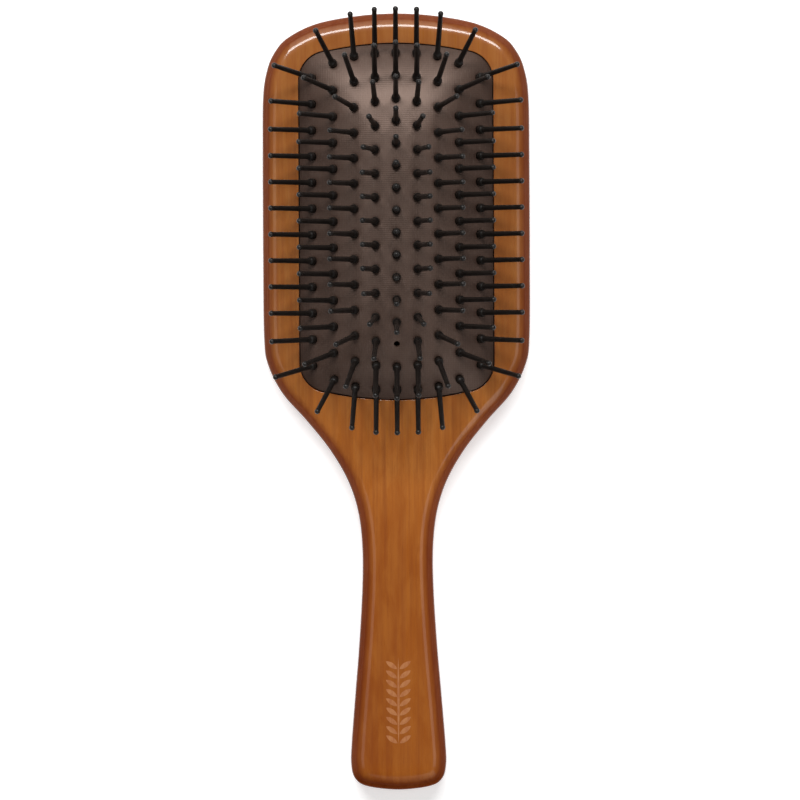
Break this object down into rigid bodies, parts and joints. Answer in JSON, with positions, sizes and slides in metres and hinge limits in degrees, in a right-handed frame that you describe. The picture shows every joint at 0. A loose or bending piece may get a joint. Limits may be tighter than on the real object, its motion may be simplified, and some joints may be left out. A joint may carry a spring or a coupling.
{
  "type": "vanity hairbrush",
  "caption": "Wooden paddle hairbrush with a domed air cushion of rubber that yields, and ball-tipped nylon pins that rock in it.",
  "frame": {"origin": "on the flat back face of the head, under the cushion's centre", "axes": "+Y along the brush towards the end of the head, +Z out of the side with the pins, +X to the right"},
  "size_m": [0.0836, 0.2447, 0.0463],
  "materials": {
    "wood": "glossy honey-coloured lacquer over straight grain",
    "rubber": "satin, finely ribbed",
    "nylon": "glossy moulded"
  },
  "bodies": {
    "brush_body": {"wooden_body": "wood"},
    "cushion": {"cushion_membrane": "rubber"},
    "pin_a_01": {"pin_a_01": "nylon"},
    "pin_a_02": {"pin_a_02": "nylon"},
    "pin_a_03": {"pin_a_03": "nylon"},
    "pin_a_04": {"pin_a_04": "nylon"},
    "pin_a_05": {"pin_a_05": "nylon"},
    "pin_a_06": {"pin_a_06": "nylon"},
    "pin_a_07": {"pin_a_07": "nylon"},
    "pin_a_08": {"pin_a_08": "nylon"},
    "pin_a_09": {"pin_a_09": "nylon"},
    "pin_a_10": {"pin_a_10": "nylon"},
    "pin_a_11": {"pin_a_11": "nylon"},
    "pin_a_12": {"pin_a_12": "nylon"},
    "pin_b_01": {"pin_b_01": "nylon"},
    "pin_b_13": {"pin_b_13": "nylon"},
    "pin_c_01": {"pin_c_01": "nylon"},
    "pin_c_14": {"pin_c_14": "nylon"},
    "pin_d_01": {"pin_d_01": "nylon"},
    "pin_d_15": {"pin_d_15": "nylon"},
    "pin_e_01": {"pin_e_01": "nylon"},
    "pin_e_15": {"pin_e_15": "nylon"},
    "pin_e_16": {"pin_e_16": "nylon"},
    "pin_f_01": {"pin_f_01": "nylon"},
    "pin_f_15": {"pin_f_15": "nylon"},
    "pin_g_01": {"pin_g_01": "nylon"},
    "pin_g_14": {"pin_g_14": "nylon"},
    "pin_h_01": {"pin_h_01": "nylon"},
    "pin_h_13": {"pin_h_13": "nylon"},
    "pin_i_01": {"pin_i_01": "nylon"},
    "pin_i_02": {"pin_i_02": "nylon"},
    "pin_i_03": {"pin_i_03": "nylon"},
    "pin_i_04": {"pin_i_04": "nylon"},
    "pin_i_05": {"pin_i_05": "nylon"},
    "pin_i_06": {"pin_i_06": "nylon"},
    "pin_i_07": {"pin_i_07": "nylon"},
    "pin_i_08": {"pin_i_08": "nylon"},
    "pin_i_09": {"pin_i_09": "nylon"},
    "pin_i_10": {"pin_i_10": "nylon"},
    "pin_i_11": {"pin_i_11": "nylon"},
    "pin_i_12": {"pin_i_12": "nylon"},
    "pin_strip_b_02_06": {"pin_strip_b_02_06": "nylon"},
    "pin_strip_b_07_12": {"pin_strip_b_07_12": "nylon"},
    "pin_strip_c_02_05": {"pin_strip_c_02_05": "nylon"},
    "pin_strip_c_06_09": {"pin_strip_c_06_09": "nylon"},
    "pin_strip_c_10_13": {"pin_strip_c_10_13": "nylon"},
    "pin_strip_d_02_05": {"pin_strip_d_02_05": "nylon"},
    "pin_strip_d_06_09": {"pin_strip_d_06_09": "nylon"},
    "pin_strip_d_10_14": {"pin_strip_d_10_14": "nylon"},
    "pin_strip_e_02_05": {"pin_strip_e_02_05": "nylon"},
    "pin_strip_e_06_09": {"pin_strip_e_06_09": "nylon"},
    "pin_strip_e_10_13": {"pin_strip_e_10_13": "nylon"},
    "pin_strip_f_02_05": {"pin_strip_f_02_05": "nylon"},
    "pin_strip_f_06_09": {"pin_strip_f_06_09": "nylon"},
    "pin_strip_f_10_14": {"pin_strip_f_10_14": "nylon"},
    "pin_strip_g_02_05": {"pin_strip_g_02_05": "nylon"},
    "pin_strip_g_06_09": {"pin_strip_g_06_09": "nylon"},
    "pin_strip_g_10_13": {"pin_strip_g_10_13": "nylon"},
    "pin_strip_h_02_06": {"pin_strip_h_02_06": "nylon"},
    "pin_strip_h_07_12": {"pin_strip_h_07_12": "nylon"}
  },
  "joints": [
    {"name": "cushion_press", "type": "slide", "parent": "brush_body", "child": "cushion", "axis": [0, 0, -1], "range_m": [0, 0.0025], "stiffness_N_per_m": 4000, "deforming": ["cushion_membrane"]},
    {"name": "pin_a_01_rock", "type": "hinge", "parent": "cushion", "child": "pin_a_01", "pos_m": [-0.02567, 0.0448, 0.01392], "axis": [0, 0.9849, -0.1732], "range_deg": [-12, 12], "stiffness_Nm_per_rad": 0.05},
    {"name": "pin_a_02_rock", "type": "hinge", "parent": "cushion", "child": "pin_a_02", "pos_m": [-0.02564, 0.03672, 0.01467], "axis": [0, 0.9994, -0.0344], "range_deg": [-12, 12], "stiffness_Nm_per_rad": 0.05},
    {"name": "pin_a_03_rock", "type": "hinge", "parent": "cushion", "child": "pin_a_03", "pos_m": [-0.02564, 0.02857, 0.01479], "axis": [0, 1, -0.004], "range_deg": [-12, 12], "stiffness_Nm_per_rad": 0.05},
    {"name": "pin_a_04_rock", "type": "hinge", "parent": "cushion", "child": "pin_a_04", "pos_m": [-0.02564, 0.02041, 0.0148], "axis": [0, 1, -0.0002], "range_deg": [-12, 12], "stiffness_Nm_per_rad": 0.05},
    {"name": "pin_a_05_rock", "type": "hinge", "parent": "cushion", "child": "pin_a_05", "pos_m": [-0.02564, 0.01225, 0.0148], "axis": [0, 1, 0], "range_deg": [-12, 12], "stiffness_Nm_per_rad": 0.05},
    {"name": "pin_a_06_rock", "type": "hinge", "parent": "cushion", "child": "pin_a_06", "pos_m": [-0.02564, 0.00408, 0.0148], "axis": [0, 1, 0], "range_deg": [-12, 12], "stiffness_Nm_per_rad": 0.05},
    {"name": "pin_a_07_rock", "type": "hinge", "parent": "cushion", "child": "pin_a_07", "pos_m": [-0.02564, -0.00408, 0.0148], "axis": [0, 1, 0], "range_deg": [-12, 12], "stiffness_Nm_per_rad": 0.05},
    {"name": "pin_a_08_rock", "type": "hinge", "parent": "cushion", "child": "pin_a_08", "pos_m": [-0.02564, -0.01225, 0.0148], "axis": [0, 1, 0], "range_deg": [-12, 12], "stiffness_Nm_per_rad": 0.05},
    {"name": "pin_a_09_rock", "type": "hinge", "parent": "cushion", "child": "pin_a_09", "pos_m": [-0.02564, -0.02041, 0.0148], "axis": [0, 1, 0.0002], "range_deg": [-12, 12], "stiffness_Nm_per_rad": 0.05},
    {"name": "pin_a_10_rock", "type": "hinge", "parent": "cushion", "child": "pin_a_10", "pos_m": [-0.02564, -0.02857, 0.01479], "axis": [0, 1, 0.004], "range_deg": [-12, 12], "stiffness_Nm_per_rad": 0.05},
    {"name": "pin_a_11_rock", "type": "hinge", "parent": "cushion", "child": "pin_a_11", "pos_m": [-0.02564, -0.03672, 0.01467], "axis": [0, 0.9994, 0.0344], "range_deg": [-12, 12], "stiffness_Nm_per_rad": 0.05},
    {"name": "pin_a_12_rock", "type": "hinge", "parent": "cushion", "child": "pin_a_12", "pos_m": [-0.02567, -0.0448, 0.01392], "axis": [0, 0.9849, 0.1732], "range_deg": [-12, 12], "stiffness_Nm_per_rad": 0.05},
    {"name": "pin_b_01_rock", "type": "hinge", "parent": "cushion", "child": "pin_b_01", "pos_m": [-0.01935, 0.0489, 0.01527], "axis": [0, 0.9033, -0.429], "range_deg": [-12, 12], "stiffness_Nm_per_rad": 0.05},
    {"name": "pin_b_13_rock", "type": "hinge", "parent": "cushion", "child": "pin_b_13", "pos_m": [-0.01935, -0.0489, 0.01527], "axis": [0, 0.9033, 0.429], "range_deg": [-12, 12], "stiffness_Nm_per_rad": 0.05},
    {"name": "pin_c_01_rock", "type": "hinge", "parent": "cushion", "child": "pin_c_01", "pos_m": [-0.01297, 0.05101, 0.01495], "axis": [0, 0.8364, -0.5481], "range_deg": [-12, 12], "stiffness_Nm_per_rad": 0.05},
    {"name": "pin_c_14_rock", "type": "hinge", "parent": "cushion", "child": "pin_c_14", "pos_m": [-0.01297, -0.05101, 0.01495], "axis": [0, 0.8364, 0.5481], "range_deg": [-12, 12], "stiffness_Nm_per_rad": 0.05},
    {"name": "pin_d_01_rock", "type": "hinge", "parent": "cushion", "child": "pin_d_01", "pos_m": [-0.0065, 0.05181, 0.01456], "axis": [0, 0.8171, -0.5765], "range_deg": [-12, 12], "stiffness_Nm_per_rad": 0.05},
    {"name": "pin_d_15_rock", "type": "hinge", "parent": "cushion", "child": "pin_d_15", "pos_m": [-0.0065, -0.05181, 0.01456], "axis": [0, 0.8171, 0.5765], "range_deg": [-12, 12], "stiffness_Nm_per_rad": 0.05},
    {"name": "pin_e_01_rock", "type": "hinge", "parent": "cushion", "child": "pin_e_01", "pos_m": [0, 0.05192, 0.01448], "axis": [0, 0.8149, -0.5795], "range_deg": [-12, 12], "stiffness_Nm_per_rad": 0.05},
    {"name": "pin_e_15_rock", "type": "hinge", "parent": "cushion", "child": "pin_e_15", "pos_m": [0, -0.04505, 0.01841], "axis": [0, 0.912, 0.4102], "range_deg": [-12, 12], "stiffness_Nm_per_rad": 0.05},
    {"name": "pin_e_16_rock", "type": "hinge", "parent": "cushion", "child": "pin_e_16", "pos_m": [0, -0.05192, 0.01448], "axis": [0, 0.8149, 0.5795], "range_deg": [-12, 12], "stiffness_Nm_per_rad": 0.05},
    {"name": "pin_f_01_rock", "type": "hinge", "parent": "cushion", "child": "pin_f_01", "pos_m": [0.0065, 0.05181, 0.01456], "axis": [0, 0.8171, -0.5765], "range_deg": [-12, 12], "stiffness_Nm_per_rad": 0.05},
    {"name": "pin_f_15_rock", "type": "hinge", "parent": "cushion", "child": "pin_f_15", "pos_m": [0.0065, -0.05181, 0.01456], "axis": [0, 0.8171, 0.5765], "range_deg": [-12, 12], "stiffness_Nm_per_rad": 0.05},
    {"name": "pin_g_01_rock", "type": "hinge", "parent": "cushion", "child": "pin_g_01", "pos_m": [0.01297, 0.05101, 0.01495], "axis": [0, 0.8364, -0.5481], "range_deg": [-12, 12], "stiffness_Nm_per_rad": 0.05},
    {"name": "pin_g_14_rock", "type": "hinge", "parent": "cushion", "child": "pin_g_14", "pos_m": [0.01297, -0.05101, 0.01495], "axis": [0, 0.8364, 0.5481], "range_deg": [-12, 12], "stiffness_Nm_per_rad": 0.05},
    {"name": "pin_h_01_rock", "type": "hinge", "parent": "cushion", "child": "pin_h_01", "pos_m": [0.01935, 0.0489, 0.01527], "axis": [0, 0.9033, -0.429], "range_deg": [-12, 12], "stiffness_Nm_per_rad": 0.05},
    {"name": "pin_h_13_rock", "type": "hinge", "parent": "cushion", "child": "pin_h_13", "pos_m": [0.01935, -0.0489, 0.01527], "axis": [0, 0.9033, 0.429], "range_deg": [-12, 12], "stiffness_Nm_per_rad": 0.05},
    {"name": "pin_i_01_rock", "type": "hinge", "parent": "cushion", "child": "pin_i_01", "pos_m": [0.02567, 0.0448, 0.01392], "axis": [0, 0.9849, -0.1732], "range_deg": [-12, 12], "stiffness_Nm_per_rad": 0.05},
    {"name": "pin_i_02_rock", "type": "hinge", "parent": "cushion", "child": "pin_i_02", "pos_m": [0.02564, 0.03672, 0.01467], "axis": [0, 0.9994, -0.0344], "range_deg": [-12, 12], "stiffness_Nm_per_rad": 0.05},
    {"name": "pin_i_03_rock", "type": "hinge", "parent": "cushion", "child": "pin_i_03", "pos_m": [0.02564, 0.02857, 0.01479], "axis": [0, 1, -0.004], "range_deg": [-12, 12], "stiffness_Nm_per_rad": 0.05},
    {"name": "pin_i_04_rock", "type": "hinge", "parent": "cushion", "child": "pin_i_04", "pos_m": [0.02564, 0.02041, 0.0148], "axis": [0, 1, -0.0002], "range_deg": [-12, 12], "stiffness_Nm_per_rad": 0.05},
    {"name": "pin_i_05_rock", "type": "hinge", "parent": "cushion", "child": "pin_i_05", "pos_m": [0.02564, 0.01225, 0.0148], "axis": [0, 1, 0], "range_deg": [-12, 12], "stiffness_Nm_per_rad": 0.05},
    {"name": "pin_i_06_rock", "type": "hinge", "parent": "cushion", "child": "pin_i_06", "pos_m": [0.02564, 0.00408, 0.0148], "axis": [0, 1, 0], "range_deg": [-12, 12], "stiffness_Nm_per_rad": 0.05},
    {"name": "pin_i_07_rock", "type": "hinge", "parent": "cushion", "child": "pin_i_07", "pos_m": [0.02564, -0.00408, 0.0148], "axis": [0, 1, 0], "range_deg": [-12, 12], "stiffness_Nm_per_rad": 0.05},
    {"name": "pin_i_08_rock", "type": "hinge", "parent": "cushion", "child": "pin_i_08", "pos_m": [0.02564, -0.01225, 0.0148], "axis": [0, 1, 0], "range_deg": [-12, 12], "stiffness_Nm_per_rad": 0.05},
    {"name": "pin_i_09_rock", "type": "hinge", "parent": "cushion", "child": "pin_i_09", "pos_m": [0.02564, -0.02041, 0.0148], "axis": [0, 1, 0.0002], "range_deg": [-12, 12], "stiffness_Nm_per_rad": 0.05},
    {"name": "pin_i_10_rock", "type": "hinge", "parent": "cushion", "child": "pin_i_10", "pos_m": [0.02564, -0.02857, 0.01479], "axis": [0, 1, 0.004], "range_deg": [-12, 12], "stiffness_Nm_per_rad": 0.05},
    {"name": "pin_i_11_rock", "type": "hinge", "parent": "cushion", "child": "pin_i_11", "pos_m": [0.02564, -0.03672, 0.01467], "axis": [0, 0.9994, 0.0344], "range_deg": [-12, 12], "stiffness_Nm_per_rad": 0.05},
    {"name": "pin_i_12_rock", "type": "hinge", "parent": "cushion", "child": "pin_i_12", "pos_m": [0.02567, -0.0448, 0.01392], "axis": [0, 0.9849, 0.1732], "range_deg": [-12, 12], "stiffness_Nm_per_rad": 0.05},
    {"name": "pin_strip_b_02_06_rock", "type": "hinge", "parent": "cushion", "child": "pin_strip_b_02_06", "pos_m": [-0.01921, 0.02457, 0.01832], "axis": [-0.0013, 0.9997, -0.0229], "range_deg": [-12, 12], "stiffness_Nm_per_rad": 0.25},
    {"name": "pin_strip_b_07_12_rock", "type": "hinge", "parent": "cushion", "child": "pin_strip_b_07_12", "pos_m": [-0.01921, -0.02047, 0.01834], "axis": [0.0011, 0.9998, 0.0183], "range_deg": [-12, 12], "stiffness_Nm_per_rad": 0.3},
    {"name": "pin_strip_c_02_05_rock", "type": "hinge", "parent": "cushion", "child": "pin_strip_c_02_05", "pos_m": [-0.01283, 0.03154, 0.02039], "axis": [-0.0056, 0.9952, -0.0978], "range_deg": [-12, 12], "stiffness_Nm_per_rad": 0.2},
    {"name": "pin_strip_c_06_09_rock", "type": "hinge", "parent": "cushion", "child": "pin_strip_c_06_09", "pos_m": [-0.01279, 0, 0.02111], "axis": [0, 1, 0], "range_deg": [-12, 12], "stiffness_Nm_per_rad": 0.2},
    {"name": "pin_strip_c_10_13_rock", "type": "hinge", "parent": "cushion", "child": "pin_strip_c_10_13", "pos_m": [-0.01283, -0.03154, 0.02039], "axis": [0.0056, 0.9952, 0.0978], "range_deg": [-12, 12], "stiffness_Nm_per_rad": 0.2},
    {"name": "pin_strip_d_02_05_rock", "type": "hinge", "parent": "cushion", "child": "pin_strip_d_02_05", "pos_m": [-0.00646, 0.03342, 0.02115], "axis": [-0.0043, 0.9842, -0.1772], "range_deg": [-12, 12], "stiffness_Nm_per_rad": 0.2},
    {"name": "pin_strip_d_06_09_rock", "type": "hinge", "parent": "cushion", "child": "pin_strip_d_06_09", "pos_m": [-0.00639, 0.00373, 0.02268], "axis": [0, 1, 0], "range_deg": [-12, 12], "stiffness_Nm_per_rad": 0.2},
    {"name": "pin_strip_d_10_14_rock", "type": "hinge", "parent": "cushion", "child": "pin_strip_d_10_14", "pos_m": [-0.00644, -0.02972, 0.02145], "axis": [0.0035, 0.9909, 0.1348], "range_deg": [-12, 12], "stiffness_Nm_per_rad": 0.25},
    {"name": "pin_strip_e_02_05_rock", "type": "hinge", "parent": "cushion", "child": "pin_strip_e_02_05", "pos_m": [0, 0.03472, 0.02106], "axis": [0, 0.9778, -0.2093], "range_deg": [-12, 12], "stiffness_Nm_per_rad": 0.2},
    {"name": "pin_strip_e_06_09_rock", "type": "hinge", "parent": "cushion", "child": "pin_strip_e_06_09", "pos_m": [0, 0.00697, 0.02318], "axis": [0, 1, -0.0042], "range_deg": [-12, 12], "stiffness_Nm_per_rad": 0.2},
    {"name": "pin_strip_e_10_13_rock", "type": "hinge", "parent": "cushion", "child": "pin_strip_e_10_13", "pos_m": [0, -0.02088, 0.02283], "axis": [0, 0.9988, 0.0488], "range_deg": [-12, 12], "stiffness_Nm_per_rad": 0.2},
    {"name": "pin_strip_f_02_05_rock", "type": "hinge", "parent": "cushion", "child": "pin_strip_f_02_05", "pos_m": [0.00646, 0.03342, 0.02115], "axis": [0.0043, 0.9842, -0.1772], "range_deg": [-12, 12], "stiffness_Nm_per_rad": 0.2},
    {"name": "pin_strip_f_06_09_rock", "type": "hinge", "parent": "cushion", "child": "pin_strip_f_06_09", "pos_m": [0.00639, 0.00373, 0.02268], "axis": [0, 1, 0], "range_deg": [-12, 12], "stiffness_Nm_per_rad": 0.2},
    {"name": "pin_strip_f_10_14_rock", "type": "hinge", "parent": "cushion", "child": "pin_strip_f_10_14", "pos_m": [0.00644, -0.02972, 0.02145], "axis": [-0.0035, 0.9909, 0.1348], "range_deg": [-12, 12], "stiffness_Nm_per_rad": 0.25},
    {"name": "pin_strip_g_02_05_rock", "type": "hinge", "parent": "cushion", "child": "pin_strip_g_02_05", "pos_m": [0.01283, 0.03154, 0.02039], "axis": [0.0056, 0.9952, -0.0978], "range_deg": [-12, 12], "stiffness_Nm_per_rad": 0.2},
    {"name": "pin_strip_g_06_09_rock", "type": "hinge", "parent": "cushion", "child": "pin_strip_g_06_09", "pos_m": [0.01279, 0, 0.02111], "axis": [0, 1, 0], "range_deg": [-12, 12], "stiffness_Nm_per_rad": 0.2},
    {"name": "pin_strip_g_10_13_rock", "type": "hinge", "parent": "cushion", "child": "pin_strip_g_10_13", "pos_m": [0.01283, -0.03154, 0.02039], "axis": [-0.0056, 0.9952, 0.0978], "range_deg": [-12, 12], "stiffness_Nm_per_rad": 0.2},
    {"name": "pin_strip_h_02_06_rock", "type": "hinge", "parent": "cushion", "child": "pin_strip_h_02_06", "pos_m": [0.01921, 0.02457, 0.01832], "axis": [0.0013, 0.9997, -0.0229], "range_deg": [-12, 12], "stiffness_Nm_per_rad": 0.25},
    {"name": "pin_strip_h_07_12_rock", "type": "hinge", "parent": "cushion", "child": "pin_strip_h_07_12", "pos_m": [0.01921, -0.02047, 0.01834], "axis": [-0.0011, 0.9998, 0.0183], "range_deg": [-12, 12], "stiffness_Nm_per_rad": 0.3}
  ]
}
